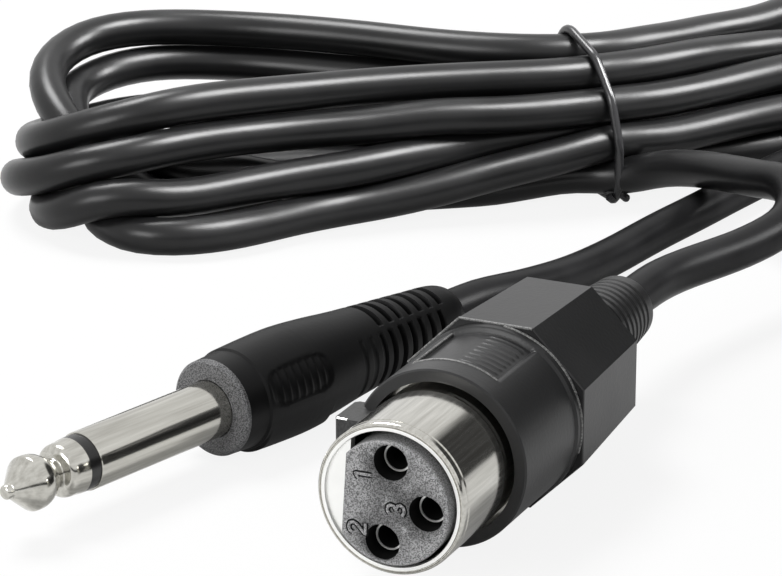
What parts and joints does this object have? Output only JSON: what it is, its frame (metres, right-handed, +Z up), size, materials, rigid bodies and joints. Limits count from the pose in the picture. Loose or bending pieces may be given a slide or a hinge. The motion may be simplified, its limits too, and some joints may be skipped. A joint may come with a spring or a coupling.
{
  "type": "microphone cable",
  "caption": "Coiled cable with a female XLR connector at one end and a mono jack plug at the other, folded into a hank and held by a wire tie.",
  "frame": {"origin": "on the surface the part lies on, under the middle of the two connectors' bounding box", "axes": "+Z up; +Y along the XLR connector's axis from its front to its cable, so its nose points to -Y; +X to its right seen from the front"},
  "size_m": [0.1521, 0.2511, 0.0215],
  "materials": {
    "nickel": "polished nickel plate with soft streaks",
    "contact_block": "fine-grained moulded plastic",
    "contact": "plated brass",
    "tinned_strip": "tinned strip",
    "latch": "fine-grained",
    "spring_steel": "bright strip",
    "housing": "fine-grained satin",
    "chuck": "natural nylon",
    "core_insulation": "smooth",
    "copper": "twisted bare strands",
    "insulator": "smooth",
    "fibre": "pressed fibre",
    "collar": "coarse-grained",
    "grip": "satin moulded",
    "jacket": "smooth satin",
    "tie": "coated wire"
  },
  "bodies": {
    "cable": {"xlr_shell": "nickel", "xlr_insert": "contact_block", "xlr_contact_1": "contact", "xlr_contact_2": "contact", "xlr_contact_3": "contact", "ground_jumper": "tinned_strip", "latch_spring": "spring_steel", "front_housing": "housing", "back_cap": "housing", "cable_chuck": "chuck", "hot_wire_xlr": "core_insulation", "screen_tail_xlr": "copper", "plug_tip": "nickel", "tip_insulator": "insulator", "plug_sleeve": "nickel", "back_insulator": "fibre", "tip_lug": "tinned_strip", "ground_clamp": "tinned_strip", "plug_core": "collar", "plug_grip": "grip", "hot_wire_plug": "core_insulation", "screen_tail_plug": "copper", "cable_hank": "jacket", "xlr_lead": "jacket", "plug_lead": "jacket", "wire_tie": "tie"},
    "latch": {"latch_button": "latch"}
  },
  "joints": [
    {"name": "latch_press", "type": "slide", "parent": "cable", "child": "latch", "axis": [1, 0, 0], "range_m": [0, 0.0021], "stiffness_N_per_m": 900, "springref_m": -0.0006, "deforming": ["latch_spring"]}
  ]
}
